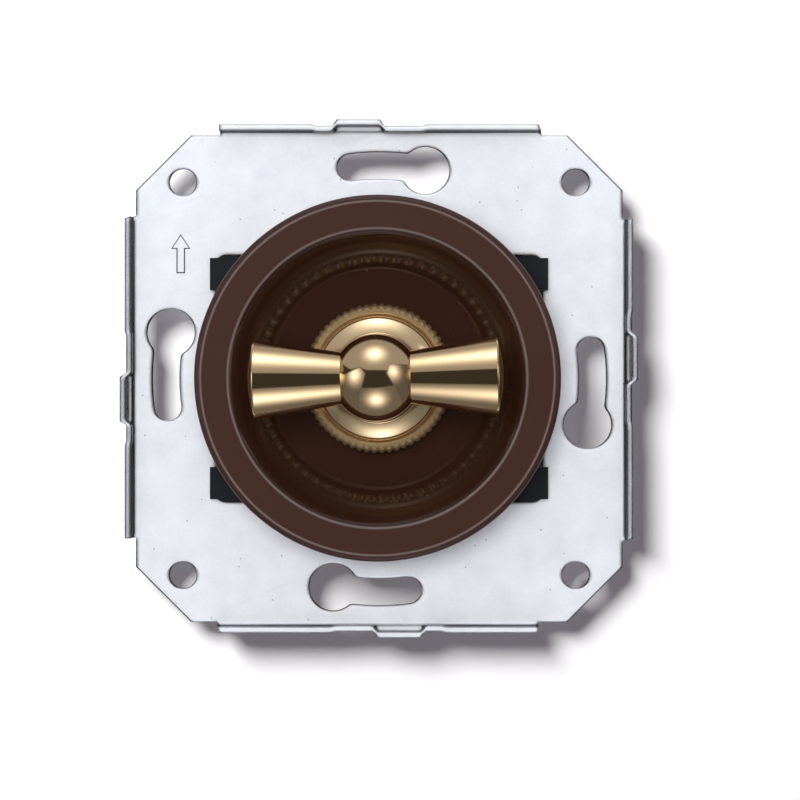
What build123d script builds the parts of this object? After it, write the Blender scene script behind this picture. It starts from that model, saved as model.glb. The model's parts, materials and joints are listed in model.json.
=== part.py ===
from build123d import *
from math import cos, pi, radians, sin, sqrt, tan
import os

os.makedirs("parts", exist_ok=True)

# Flush rotary light switch: a turn-handle mechanism clipped into a square support plate.
# The wall lies behind the plate, the user stands in front of it (-Y), and +Z is up.
# The origin is the centre of the plate, on its wall face.
# A name that ends in _h is a height in front of the wall face, so it lies at y = -height,
# and a negative height is a depth behind the plate, inside the wall box.

# Support plate, pressed from plated steel sheet
sheet = 0.8
plate_half = 34.2
corner_cut = 7.75
gang_pitch = 71.0
flange_length = 44.7
flange_h = 3.0
bend_radius = 0.4
bend_lead = 0.05
interlock_rise = 0.7
interlock_dip = 0.2
flange_end_lead = 0.55
interlock_bump = (-5.9, 0.2)
interlock_slope = 0.6
interlock_recess_left = 2.3
interlock_recess_right = 5.3
corner_hole_pitch = 55.2
corner_hole_radius = 1.9
screw_circle_radius = 30.0
keyhole_radius = 3.35
slot_width = 3.8
keyhole_angle = 12.5
slot_end_angle = 7.7
neck_fillet = 1.0
window_width = 45.8
window_height = 34.8
window_corner = 1.5

# Brown dished cover
cover_radius = 25.2
cover_rim_h = 9.6
cover_wall = 2.0
cover_floor = 2.2
rim_land = 5.07
dish_angle = 46.0
dish_floor_fillet = 0.8
outer_edge_fillet = 0.7
inner_edge_fillet = 1.8
cover_rib_count = 12
cover_rib_width = 1.0

# Mechanism housing
window_play_x = 0.9
window_play_z = 0.5
housing_corner = 1.6
housing_split_h = -12.0
deck_h = 2.4
deck_play = 0.6
hook_reach = 23.7
hook_low = 12.4
hook_root = 19.4
hook_thickness = 1.4
hook_clearance = 0.5
hook_lip = 1.6
hook_lip_drop = 0.25
ledge_length = 40.0
ledge_reach = 1.5
ledge_thickness = 2.0
chamber_radius = 14.6
chamber_roof_h = -1.0
peg_radius = 1.0

# Threaded bush and knurled nut
thread_radius = 5.0
thread_clearance = 0.05
bush_top_h = 7.6
bush_hex_flats = 13.0
bush_hex_thickness = 1.4
seat_clearance = 0.1
nut_height = 2.3
knurl_radius = 10.35
knurl_depth = 0.42
knurl_chamfer = 0.6
knurl_chamfer_depth = 0.5
knurl_teeth = 60
nut_shoulder_width = 0.13
groove_depth = 0.45
groove_width = 0.6
dome_height = 1.82
dome_hole_radius = 5.8
dome_crest_radius = 6.2
dome_bulge_inwards = 0.44
dome_bulge_forwards = 0.64

# Shaft and handle
shaft_radius = 3.0
running_clearance = 0.05
shaft_collar_radius = 4.5
shaft_collar_thickness = 1.45
washer_radius = 5.5
washer_thickness = 0.5
shaft_square = 5.0
shaft_tip_radius = 2.1
shaft_tip_length = 4.9
tail_radius = 2.0
tail_length = 4.5
ball_radius = 5.9
ball_h = 16.0
collar_radius = 6.3
collar_thickness = 1.0
collar_gap = 0.25
neck_radius = 4.2
foot_play = 0.4
arm_start = 5.0
arm_start_radius = 3.65
arm_end = 16.4
arm_end_radius = 5.3
arm_dome = 0.9
arm_edge_fillet = 0.35
stud_radius = 1.5
stud_half_length = 9.0
press_clearance = 0.02

# Indexing gear and switching gear
cam_width = 12.0
cam_corner = 2.2
cam_thickness = 4.0
leaf_thickness = 0.5
leaf_width = 3.4
leaf_length = 24.0
leaf_hook = 1.3
leaf_gap = 0.1
rotor_radius = 11.5
rotor_thickness = 3.5
rotor_pocket_depth = 2.0
bridge_thickness = 0.8
bridge_hub_radius = 6.2
bridge_arm_width = 5.0
bridge_arm_reach = 11.0
ring_thickness = 0.6
ring_radius = 3.4
ring_groove_depth = 0.4
tip_radius = 1.6
tip_shank_radius = 0.8
tip_height = 0.6
tip_circle_radius = 9.2
contact_gap = 0.1
strip_thickness = 0.8
strip_width = 5.0
strip_start = 7.3
brush_thickness = 0.5
brush_lift_start = 8.5
brush_lift_end = 6.2
brush_end = 4.6

# Contact base, terminals and screws
base_back_h = -27.6
base_step = 0.5
base_chamfer = 1.0
terminal_wall_x = 1.5
terminal_wall_z = 1.0
terminal_depth = 6.0
terminal_width = 7.4
terminal_length = 9.0
terminal_clearance = 0.1
wire_hole_radius = 1.9
wire_hole_depth = 7.0
wire_entry = 5.0
clamp_screw_radius = 1.7
clamp_head_radius = 2.7
clamp_head_thickness = 1.2
clamp_head_clearance = 0.5
screw_slot_width = 0.7
screw_slot_depth = 0.6
assembly_screw_edge = 4.0
assembly_screw_radius = 1.5
assembly_screw_length = 20.0
assembly_head_radius = 2.7
assembly_head_thickness = 1.9
assembly_head_recess = 0.4
assembly_head_clearance = 0.2
pivot_play = 0.4
relief_width = 9.0
relief_height = 6.0
relief_spacing = 13.0
relief_edge = 3.2
relief_corner = 1.0


def face(height):
    """Plane parallel to the wall at a height in front of it; extruding goes forwards."""
    return Plane.XZ.offset(height)


def finish(builder, name):
    """Label a finished piece and write its file."""
    builder.part.label = name
    export_step(builder.part, f"parts/{name}.step")


# Local x is the radius and local y the height; turned pieces are revolved about the Y axis
section = Plane(origin=(0, 0, 0), x_dir=(1, 0, 0), z_dir=(0, 0, -1))

# Heights that follow from the stack of pieces
floor_h = deck_h + cover_floor
nut_top_h = floor_h + nut_height
flange_inner = gang_pitch / 2 - sheet
bend_end_h = sheet + bend_radius + bend_lead
housing_width = window_width - 2 * window_play_x
housing_height = window_height - 2 * window_play_z
deck_radius = cover_radius - cover_wall - deck_play
washer_h = chamber_roof_h - washer_thickness
shaft_collar_back_h = washer_h - running_clearance - shaft_collar_thickness
cam_back_h = shaft_collar_back_h - cam_thickness
rotor_back_h = cam_back_h - rotor_thickness
bridge_back_h = rotor_back_h - bridge_thickness
moving_tip_h = bridge_back_h - tip_height
fixed_tip_h = moving_tip_h - contact_gap
strip_front_h = fixed_tip_h - tip_height
strip_back_h = strip_front_h - strip_thickness
terminal_back_h = strip_back_h - terminal_length

# Places that follow from the outline of the base
half_width = housing_width / 2 - base_step
half_height = housing_height / 2 - base_step
terminal_offset_x = half_width - terminal_wall_x - terminal_depth / 2
terminal_offset_z = half_height - terminal_wall_z - terminal_depth / 2
assembly_screw_x = half_width - assembly_screw_edge
assembly_screw_z = half_height - assembly_screw_edge
relief_z = half_height - relief_edge - relief_height / 2
peg_spacing = leaf_length - 2 * (leaf_thickness + seat_clearance + peg_radius)
hub_foot_h = bush_top_h + seat_clearance
collar_back_h = nut_top_h + dome_height + collar_gap
collar_front_h = collar_back_h + collar_thickness
ball_seat = sqrt(ball_radius**2 - neck_radius**2)

# Support plate: the flange is one side's bent edge, repeated on all four sides.
# Its middle steps out and in, so that plates ganged side by side lock together.
with BuildPart() as flange:
    with BuildSketch(Plane.YZ.offset(-flange_length / 2)) as bend:
        with BuildLine():
            Polyline(
                (0, plate_half - corner_cut),
                (0, gang_pitch / 2),
                (-bend_end_h, gang_pitch / 2),
                (-bend_end_h, flange_inner),
                (-sheet, flange_inner),
                (-sheet, plate_half - corner_cut),
                close=True,
            )
        make_face()
        fillet(bend.vertices().sort_by_distance((0, gang_pitch / 2))[0], bend_radius + sheet)
        fillet(bend.vertices().sort_by_distance((-sheet, flange_inner))[0], bend_radius)
    extrude(amount=flange_length + flange_end_lead)
    bump_start, bump_end = interlock_bump
    steps = [
        (-flange_length / 2, 0),
        (bump_start - interlock_slope - interlock_recess_left - interlock_slope, 0),
        (bump_start - interlock_slope - interlock_recess_left, -interlock_dip),
        (bump_start - interlock_slope, -interlock_dip),
        (bump_start, interlock_rise),
        (bump_end, interlock_rise),
        (bump_end + interlock_slope, -interlock_dip),
        (bump_end + interlock_slope + interlock_recess_right, -interlock_dip),
        (bump_end + interlock_slope + interlock_recess_right + interlock_slope, 0),
        (flange_length / 2 + flange_end_lead, 0),
    ]
    with BuildSketch(face(bend_end_h)):
        with BuildLine():
            outer = [(x, gang_pitch / 2 + step) for x, step in steps]
            inner = [(x, flange_inner + step) for x, step in reversed(steps)]
            Polyline(*outer, *inner, close=True)
        make_face()
    extrude(amount=flange_h - bend_end_h)
    # The clockwise end is sheared at a slant, widest at the plate
    with BuildSketch(face(0)):
        with BuildLine():
            Polyline(
                (flange_length / 2 + flange_end_lead, plate_half),
                (flange_length / 2, gang_pitch / 2),
                (flange_length / 2, gang_pitch / 2 + sheet),
                (flange_length / 2 + sheet, gang_pitch / 2 + sheet),
                (flange_length / 2 + sheet, plate_half),
                close=True,
            )
        make_face()
    extrude(amount=flange_h, mode=Mode.SUBTRACT)


def keyhole_line(quarter):
    """Centre line of one keyhole's narrow part, on the circle of the box screws."""
    start = 90 * quarter - keyhole_angle
    return CenterArc((0, 0), screw_circle_radius, start, keyhole_angle + slot_end_angle)


keyhole_lines = [keyhole_line(quarter) for quarter in range(4)]

with BuildPart() as mounting_plate:
    with BuildSketch(face(0)) as outline:
        Rectangle(2 * plate_half, 2 * plate_half)
        chamfer(outline.vertices(), corner_cut)
    extrude(amount=sheet)
    for quarter in range(4):
        add(flange.part.rotate(Axis.Y, 90 * quarter))
    with BuildSketch(face(0)) as openings:
        RectangleRounded(window_width, window_height, window_corner)
        with GridLocations(corner_hole_pitch, corner_hole_pitch, 2, 2):
            Circle(corner_hole_radius)
        for quarter, line in enumerate(keyhole_lines):
            with PolarLocations(screw_circle_radius, 1, start_angle=90 * quarter - keyhole_angle):
                Circle(keyhole_radius)
            SlotArc(line, slot_width)
        neck_corners = []
        for vertex in openings.vertices():
            reach = sqrt(vertex.X**2 + vertex.Y**2)
            for quarter in range(4):
                angle = radians(90 * quarter - keyhole_angle)
                centre_x = screw_circle_radius * cos(angle)
                centre_z = screw_circle_radius * sin(angle)
                from_round = sqrt((vertex.X - centre_x)**2 + (vertex.Y - centre_z)**2) - keyhole_radius
                from_slot = abs(reach - screw_circle_radius) - slot_width / 2
                if max(abs(from_round), abs(from_slot)) < press_clearance:
                    neck_corners.append(vertex)
        fillet(neck_corners, neck_fillet)
    extrude(amount=sheet, mode=Mode.SUBTRACT)
finish(mounting_plate, "mounting_plate")

# Brown cover: a round dish with a flat rim, a conical wall and a polished floor.
# Its rim stands on the plate and bridges the four housing hooks through notches.
rim_inner = cover_radius - rim_land
wall_run = (cover_rim_h - floor_h) / tan(radians(dish_angle))
dish_floor_radius = rim_inner - wall_run
wall_offset = cover_wall * tan(radians(dish_angle / 2))
with BuildPart() as cover:
    with BuildSketch(section) as profile:
        with BuildLine():
            Polyline(
                (thread_radius + seat_clearance, deck_h),
                (thread_radius + seat_clearance, floor_h),
                (dish_floor_radius, floor_h),
                (rim_inner, cover_rim_h),
                (cover_radius, cover_rim_h),
                (cover_radius, sheet),
                (cover_radius - cover_wall, sheet),
                (cover_radius - cover_wall, cover_rim_h - cover_wall),
                (rim_inner + wall_offset, cover_rim_h - cover_wall),
                (dish_floor_radius + wall_offset, deck_h),
                close=True,
            )
        make_face()
        fillet(profile.vertices().sort_by_distance((dish_floor_radius, floor_h))[0], dish_floor_fillet)
        fillet(profile.vertices().sort_by_distance((rim_inner, cover_rim_h))[0], inner_edge_fillet)
        fillet(profile.vertices().sort_by_distance((cover_radius, cover_rim_h))[0], outer_edge_fillet)
    revolve(axis=Axis.Y)
    # Ribs stiffen the rim from behind, between the dish and the outer wall
    rib_back_h = deck_h + cover_wall
    with BuildSketch(face(rib_back_h)):
        with PolarLocations(0, cover_rib_count, start_angle=180 / cover_rib_count):
            rib_middle = (dish_floor_radius + cover_radius) / 2
            with Locations((rib_middle, 0)):
                Rectangle(cover_radius - dish_floor_radius - cover_wall, cover_rib_width)
    extrude(amount=cover_rim_h - cover_wall - rib_back_h + press_clearance)
    with BuildSketch(section) as dish_space:
        with BuildLine():
            Polyline(
                (0, floor_h),
                (dish_floor_radius, floor_h),
                (rim_inner, cover_rim_h),
                (0, cover_rim_h),
                close=True,
            )
        make_face()
        fillet(dish_space.vertices().sort_by_distance((dish_floor_radius, floor_h))[0], dish_floor_fillet)
    revolve(axis=Axis.Y, mode=Mode.SUBTRACT)
    hook_height = window_height / 2 - window_play_z - hook_low
    with BuildSketch(face(sheet)):
        with GridLocations(2 * hook_reach, 2 * hook_low + hook_height, 2, 2):
            Rectangle(2 * (hook_reach - hook_root), hook_height + 2 * hook_clearance)
    extrude(amount=hook_thickness + hook_clearance, mode=Mode.SUBTRACT)
finish(cover, "cover")

# Housing: the black moulding that snaps into the window of the plate.
# Four hooks lie on the plate's front face, and two ledges bear on its wall face.
with BuildPart() as housing:
    with BuildSketch(face(housing_split_h)):
        RectangleRounded(housing_width, housing_height, housing_corner)
    extrude(amount=sheet - housing_split_h)
    with BuildSketch(face(sheet)):
        Circle(deck_radius)
        Rectangle(housing_width, housing_height, mode=Mode.INTERSECT)
    extrude(amount=deck_h - sheet)
    with BuildSketch(face(sheet)):
        with GridLocations(hook_root + hook_reach, 2 * hook_low + hook_height, 2, 2):
            Rectangle(hook_reach - hook_root, hook_height)
    extrude(amount=hook_thickness)
    with BuildSketch(face(sheet + hook_thickness)):
        with GridLocations(2 * hook_reach - hook_lip, 2 * hook_low + hook_height, 2, 2):
            Rectangle(hook_lip, hook_height)
    extrude(amount=-hook_lip_drop, mode=Mode.SUBTRACT)
    with BuildSketch(face(0)):
        Rectangle(ledge_length, window_height + 2 * ledge_reach)
    extrude(amount=-ledge_thickness)
    with BuildSketch(face(housing_split_h)):
        Circle(chamber_radius)
    extrude(amount=chamber_roof_h - housing_split_h, mode=Mode.SUBTRACT)
    # Pegs hold the index springs by their ends
    peg_x = cam_width / 2 + 2 * leaf_gap + leaf_thickness + peg_radius
    with BuildSketch(face(chamber_roof_h)):
        with GridLocations(2 * peg_x, peg_spacing, 2, 2):
            Circle(peg_radius)
    extrude(amount=cam_back_h - chamber_roof_h)
    # Bush bore, with a hexagonal pocket that keeps the bush from turning
    with BuildSketch(face(chamber_roof_h)):
        Circle(thread_radius + thread_clearance)
    extrude(amount=deck_h - chamber_roof_h, mode=Mode.SUBTRACT)
    with BuildSketch(face(chamber_roof_h)):
        RegularPolygon(bush_hex_flats / 2 + thread_clearance, 6, major_radius=False)
    extrude(amount=bush_hex_thickness, mode=Mode.SUBTRACT)
    with BuildSketch(face(housing_split_h)):
        with GridLocations(2 * assembly_screw_x, 2 * assembly_screw_z, 2, 2):
            Circle(assembly_screw_radius)
    screw_tip_h = base_back_h + assembly_head_recess + assembly_head_thickness + assembly_screw_length
    extrude(amount=screw_tip_h - housing_split_h + seat_clearance, mode=Mode.SUBTRACT)
finish(housing, "housing")

# Threaded bush: carries the shaft and clamps the cover together with the knurled nut
with BuildPart() as threaded_bush:
    with BuildSketch(face(chamber_roof_h)):
        RegularPolygon(bush_hex_flats / 2, 6, major_radius=False)
    extrude(amount=bush_hex_thickness)
    with BuildSketch(face(chamber_roof_h)):
        Circle(thread_radius)
    extrude(amount=bush_top_h - chamber_roof_h)
    with BuildSketch(face(chamber_roof_h)):
        Circle(shaft_radius + running_clearance)
    extrude(amount=bush_top_h - chamber_roof_h, mode=Mode.SUBTRACT)
finish(threaded_bush, "threaded_bush")


def knurl_points(tip_radius_here):
    """Corners of the knurled outline: a tooth tip and a tooth root in turn."""
    points = []
    for index in range(2 * knurl_teeth):
        radius = tip_radius_here - knurl_depth * (index % 2)
        angle = pi * index / knurl_teeth
        points.append((radius * cos(angle), radius * sin(angle)))
    return points


# Knurled nut: a chamfered ring of teeth, a groove, and a domed crown round the handle's foot
with BuildPart() as knurled_nut:
    chamfer_h = nut_top_h - knurl_chamfer_depth
    with BuildSketch(face(floor_h)):
        with BuildLine():
            Polyline(*knurl_points(knurl_radius), close=True)
        make_face()
    extrude(amount=chamfer_h - floor_h)
    for height, tip in ((chamfer_h, knurl_radius), (nut_top_h, knurl_radius - knurl_chamfer)):
        with BuildSketch(face(height)):
            with BuildLine():
                Polyline(*knurl_points(tip), close=True)
            make_face()
    loft(ruled=True)
    shoulder_radius = knurl_radius - knurl_chamfer - knurl_depth - nut_shoulder_width
    dome_foot = shoulder_radius - groove_width
    with BuildSketch(section):
        with BuildLine():
            Line((0, floor_h + nut_height / 2), (dome_foot, floor_h + nut_height / 2))
            Line((dome_foot, floor_h + nut_height / 2), (dome_foot, nut_top_h))
            ThreePointArc(
                (dome_foot, nut_top_h),
                (
                    dome_foot - dome_bulge_inwards * (dome_foot - dome_crest_radius),
                    nut_top_h + dome_bulge_forwards * dome_height,
                ),
                (dome_crest_radius, nut_top_h + dome_height),
            )
            Line((dome_crest_radius, nut_top_h + dome_height), (0, nut_top_h + dome_height))
            Line((0, nut_top_h + dome_height), (0, floor_h + nut_height / 2))
        make_face()
    revolve(axis=Axis.Y)
    # Groove between the knurled shoulder and the dome
    with BuildSketch(section):
        with BuildLine():
            Polyline(
                (dome_foot, nut_top_h),
                (dome_foot, nut_top_h - groove_depth),
                (shoulder_radius, nut_top_h),
                close=True,
            )
        make_face()
    revolve(axis=Axis.Y, mode=Mode.SUBTRACT)
    with BuildSketch(face(floor_h)):
        Circle(thread_radius + thread_clearance)
    extrude(amount=nut_height + dome_height, mode=Mode.SUBTRACT)
    # Cup in the crown for the foot of the handle
    with BuildSketch(section):
        with BuildLine():
            Polyline(
                (0, hub_foot_h),
                (dome_hole_radius, hub_foot_h),
                (dome_hole_radius, nut_top_h + dome_height - collar_gap),
                (dome_hole_radius + collar_gap, nut_top_h + dome_height),
                (0, nut_top_h + dome_height),
                close=True,
            )
        make_face()
    revolve(axis=Axis.Y, mode=Mode.SUBTRACT)
finish(knurled_nut, "knurled_nut")

# Thrust washer between the bush and the shaft's collar
with BuildPart() as thrust_washer:
    with BuildSketch(face(washer_h)):
        Circle(washer_radius)
        Circle(shaft_radius + running_clearance, mode=Mode.SUBTRACT)
    extrude(amount=washer_thickness)
finish(thrust_washer, "thrust_washer")

# Shaft: threaded tip in the handle, journal in the bush, collar, square and tail pivot
with BuildPart() as shaft:
    with BuildSketch(section):
        with BuildLine():
            Polyline(
                (0, shaft_collar_back_h),
                (shaft_collar_radius, shaft_collar_back_h),
                (shaft_collar_radius, washer_h - running_clearance),
                (shaft_radius, washer_h - running_clearance),
                (shaft_radius, collar_back_h),
                (shaft_tip_radius, collar_back_h),
                (shaft_tip_radius, collar_back_h + shaft_tip_length),
                (0, collar_back_h + shaft_tip_length),
                close=True,
            )
        make_face()
    revolve(axis=Axis.Y)
    with BuildSketch(face(shaft_collar_back_h)):
        Rectangle(shaft_square, shaft_square)
    extrude(amount=bridge_back_h - shaft_collar_back_h)
    groove_radius = tail_radius - ring_groove_depth
    with BuildSketch(section):
        with BuildLine():
            Polyline(
                (0, bridge_back_h),
                (groove_radius, bridge_back_h),
                (groove_radius, bridge_back_h - ring_thickness),
                (tail_radius, bridge_back_h - ring_thickness),
                (tail_radius, bridge_back_h - tail_length),
                (0, bridge_back_h - tail_length),
                close=True,
            )
        make_face()
    revolve(axis=Axis.Y)
finish(shaft, "shaft")

# Retaining ring: an open clip in the groove of the tail
with BuildPart() as retaining_ring:
    with BuildSketch(face(bridge_back_h - ring_thickness)):
        Circle(ring_radius)
        Circle(groove_radius, mode=Mode.SUBTRACT)
        with Locations((0, -ring_radius)):
            Rectangle(2 * groove_radius, 2 * ring_radius, mode=Mode.SUBTRACT)
    extrude(amount=ring_thickness)
finish(retaining_ring, "retaining_ring")

# Handle hub: foot, collar, neck and ball turned from one brass bar, with a flat for each arm
handle_axis = Axis((0, -ball_h, 0), (1, 0, 0))
with BuildPart() as handle_hub:
    foot_radius = dome_hole_radius - foot_play
    with BuildSketch(section):
        with BuildLine():
            Polyline(
                (0, hub_foot_h),
                (foot_radius, hub_foot_h),
                (foot_radius, collar_back_h),
                (collar_radius, collar_back_h),
                (collar_radius, collar_front_h - collar_gap),
                (collar_radius - collar_gap, collar_front_h),
                (neck_radius, collar_front_h),
                (neck_radius, ball_h - ball_seat),
            )
            ThreePointArc(
                (neck_radius, ball_h - ball_seat),
                (ball_radius, ball_h),
                (0, ball_h + ball_radius),
            )
            Line((0, ball_h + ball_radius), (0, hub_foot_h))
        make_face()
    revolve(axis=Axis.Y)
    for side in (-1, 1):
        with BuildSketch(Plane.YZ.offset(side * arm_start)):
            with Locations((-ball_h, 0)):
                Circle(arm_start_radius)
        extrude(amount=side * ball_radius, mode=Mode.SUBTRACT)
    with BuildSketch(Plane.YZ):
        with Locations((-ball_h, 0)):
            Circle(stud_radius + press_clearance)
    extrude(amount=ball_radius, both=True, mode=Mode.SUBTRACT)
    with BuildSketch(face(hub_foot_h)):
        Circle(shaft_radius + press_clearance)
    extrude(amount=collar_back_h - hub_foot_h, mode=Mode.SUBTRACT)
    with BuildSketch(face(collar_back_h)):
        Circle(shaft_tip_radius + press_clearance)
    extrude(amount=shaft_tip_length + press_clearance, mode=Mode.SUBTRACT)
finish(handle_hub, "handle_hub")

# Handle arms: two cones that flare outwards to a domed end, screwed on a stud through the ball
for side, name in ((-1, "handle_arm_left"), (1, "handle_arm_right")):
    with BuildPart() as handle_arm:
        arm_plane = Plane(origin=(0, -ball_h, 0), x_dir=(side, 0, 0), z_dir=(0, -side, 0))
        with BuildSketch(arm_plane) as arm_profile:
            with BuildLine():
                Line((arm_start, 0), (arm_start, arm_start_radius))
                Line((arm_start, arm_start_radius), (arm_end, arm_end_radius))
                dome_radius = (arm_end_radius**2 + arm_dome**2) / (2 * arm_dome)
                RadiusArc((arm_end, arm_end_radius), (arm_end + arm_dome, 0), dome_radius)
                Line((arm_end + arm_dome, 0), (arm_start, 0))
            make_face()
            fillet(arm_profile.vertices().sort_by_distance((arm_end, arm_end_radius))[0], arm_edge_fillet)
        revolve(axis=handle_axis)
        with BuildSketch(Plane.YZ.offset(side * arm_start)):
            with Locations((-ball_h, 0)):
                Circle(stud_radius + press_clearance)
        extrude(amount=side * (stud_half_length - arm_start + seat_clearance), mode=Mode.SUBTRACT)
    finish(handle_arm, name)

with BuildPart() as arm_stud:
    with BuildSketch(Plane.YZ):
        with Locations((-ball_h, 0)):
            Circle(stud_radius)
    extrude(amount=stud_half_length, both=True)
finish(arm_stud, "arm_stud")

# Index cam: four flats, one for each quarter turn
with BuildPart() as index_cam:
    with BuildSketch(face(cam_back_h)) as cam_outline:
        Rectangle(cam_width, cam_width)
        fillet(cam_outline.vertices(), cam_corner)
        Rectangle(shaft_square + press_clearance, shaft_square + press_clearance, mode=Mode.SUBTRACT)
    extrude(amount=cam_thickness)
finish(index_cam, "index_cam")

# Index springs: straight leaves with hooked ends that grip the cam's flats between them
leaf_back_h = cam_back_h + (cam_thickness - leaf_width) / 2
for side, name in ((-1, "index_spring_left"), (1, "index_spring_right")):
    with BuildPart() as index_spring:
        leaf_x = side * (cam_width / 2 + leaf_gap + leaf_thickness / 2)
        hook_x = side * (cam_width / 2 + leaf_gap + leaf_hook / 2)
        with BuildSketch(face(leaf_back_h)):
            with Locations((leaf_x, 0)):
                Rectangle(leaf_thickness, leaf_length)
            with Locations((hook_x, 0)):
                with GridLocations(0, leaf_length - leaf_thickness, 1, 2):
                    Rectangle(leaf_hook, leaf_thickness)
        extrude(amount=leaf_width)
    finish(index_spring, name)

# Rotor: insulating disc on the square of the shaft, with pockets between its ribs
with BuildPart() as rotor:
    with BuildSketch(face(rotor_back_h)):
        Circle(rotor_radius)
        Rectangle(shaft_square + press_clearance, shaft_square + press_clearance, mode=Mode.SUBTRACT)
    extrude(amount=rotor_thickness)
    with BuildSketch(face(cam_back_h)):
        with PolarLocations((bridge_hub_radius + rotor_radius) / 2, 4, start_angle=45):
            Rectangle((rotor_radius - bridge_hub_radius) / 2, bridge_arm_width)
    extrude(amount=-rotor_pocket_depth, mode=Mode.SUBTRACT)
finish(rotor, "rotor")

# Contact bridge: two blades and a slip hub, riveted to the rotor by the moving contact tips
with BuildPart() as contact_bridge:
    with BuildSketch(face(bridge_back_h)):
        Circle(bridge_hub_radius)
        Rectangle(2 * bridge_arm_reach, bridge_arm_width)
        Rectangle(shaft_square + press_clearance, shaft_square + press_clearance, mode=Mode.SUBTRACT)
        with PolarLocations(tip_circle_radius, 2):
            Circle(tip_shank_radius, mode=Mode.SUBTRACT)
    extrude(amount=bridge_thickness)
finish(contact_bridge, "contact_bridge")

with BuildPart() as moving_contacts:
    with BuildSketch(face(moving_tip_h)):
        with PolarLocations(tip_circle_radius, 2):
            Circle(tip_radius)
    extrude(amount=tip_height)
    with BuildSketch(face(bridge_back_h)):
        with PolarLocations(tip_circle_radius, 2):
            Circle(tip_shank_radius)
    extrude(amount=bridge_thickness)
finish(moving_contacts, "moving_contacts")

# Fixed contacts: a strip and a riveted tip on the right and at the top.
# The blades of the bridge reach one of them at each quarter turn.
terminal_places = {
    "line_1": (0, terminal_offset_x),
    "line_2": (90, terminal_offset_z),
    "common": (180, terminal_offset_x),
}
for name in ("line_1", "line_2"):
    angle, offset = terminal_places[name]
    strip_end = offset + terminal_depth / 2
    with BuildPart() as fixed_contact:
        with BuildSketch(face(strip_back_h)):
            with PolarLocations((strip_start + strip_end) / 2, 1, start_angle=angle):
                Rectangle(strip_end - strip_start, strip_width)
            with PolarLocations(tip_circle_radius, 1, start_angle=angle):
                Circle(tip_shank_radius, mode=Mode.SUBTRACT)
        extrude(amount=strip_thickness)
    finish(fixed_contact, f"{name}_contact")

with BuildPart() as fixed_tips:
    for name in ("line_1", "line_2"):
        angle, offset = terminal_places[name]
        with BuildSketch(face(strip_front_h)):
            with PolarLocations(tip_circle_radius, 1, start_angle=angle):
                Circle(tip_radius)
        extrude(amount=tip_height)
        with BuildSketch(face(strip_back_h)):
            with PolarLocations(tip_circle_radius, 1, start_angle=angle):
                Circle(tip_shank_radius)
        extrude(amount=strip_thickness)
finish(fixed_tips, "fixed_tips")

# Common contact: a brush leaf that slides on the hub of the bridge
with BuildPart() as common_contact:
    brush_top_h = bridge_back_h - contact_gap
    strip_end = terminal_offset_x + terminal_depth / 2
    with BuildSketch(section):
        with BuildLine():
            Polyline(
                (-strip_end, strip_back_h),
                (-strip_end, strip_back_h + brush_thickness),
                (-brush_lift_start, strip_back_h + brush_thickness),
                (-brush_lift_end, brush_top_h),
                (-brush_end, brush_top_h),
                (-brush_end, brush_top_h - brush_thickness),
                (-brush_lift_end, brush_top_h - brush_thickness),
                (-brush_lift_start, strip_back_h),
                close=True,
            )
        make_face()
    extrude(amount=strip_width / 2, both=True)
finish(common_contact, "common_contact")


def beside(angle, offset, height):
    """Plane that faces outwards from the mechanism's axis, with local x along the wall."""
    outward = (cos(radians(angle)), 0, sin(radians(angle)))
    along = (-sin(radians(angle)), 0, cos(radians(angle)))
    return Plane(
        origin=(offset * outward[0], -height, offset * outward[2]),
        x_dir=along,
        z_dir=outward,
    )


# Contact base: closes the chamber from behind and holds the terminals in pockets
clamp_h = terminal_back_h + wire_hole_depth / 2
with BuildPart() as contact_base:
    with BuildSketch(face(terminal_back_h)):
        RectangleRounded(2 * half_width, 2 * half_height, housing_corner)
        for angle, offset in terminal_places.values():
            with PolarLocations(offset, 1, start_angle=angle):
                pocket_depth = terminal_depth + 2 * terminal_clearance
                pocket_width = terminal_width + 2 * terminal_clearance
                Rectangle(pocket_depth, pocket_width, mode=Mode.SUBTRACT)
        with GridLocations(2 * assembly_screw_x, 2 * assembly_screw_z, 2, 2):
            Circle(assembly_screw_radius + seat_clearance, mode=Mode.SUBTRACT)
    extrude(amount=housing_split_h - terminal_back_h)
    with BuildSketch(face(strip_back_h)):
        Circle(chamber_radius)
    extrude(amount=housing_split_h - strip_back_h, mode=Mode.SUBTRACT)
    with BuildSketch(face(strip_back_h)):
        Circle(tail_radius + running_clearance)
    tail_end_h = bridge_back_h - tail_length
    extrude(amount=tail_end_h - pivot_play - strip_back_h, mode=Mode.SUBTRACT)
    for angle, offset in terminal_places.values():
        # Screwdriver hole through the side wall
        with BuildSketch(beside(angle, offset, clamp_h)):
            Circle(clamp_head_radius + clamp_head_clearance)
        extrude(amount=half_width, mode=Mode.SUBTRACT)
finish(contact_base, "contact_base")

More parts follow.
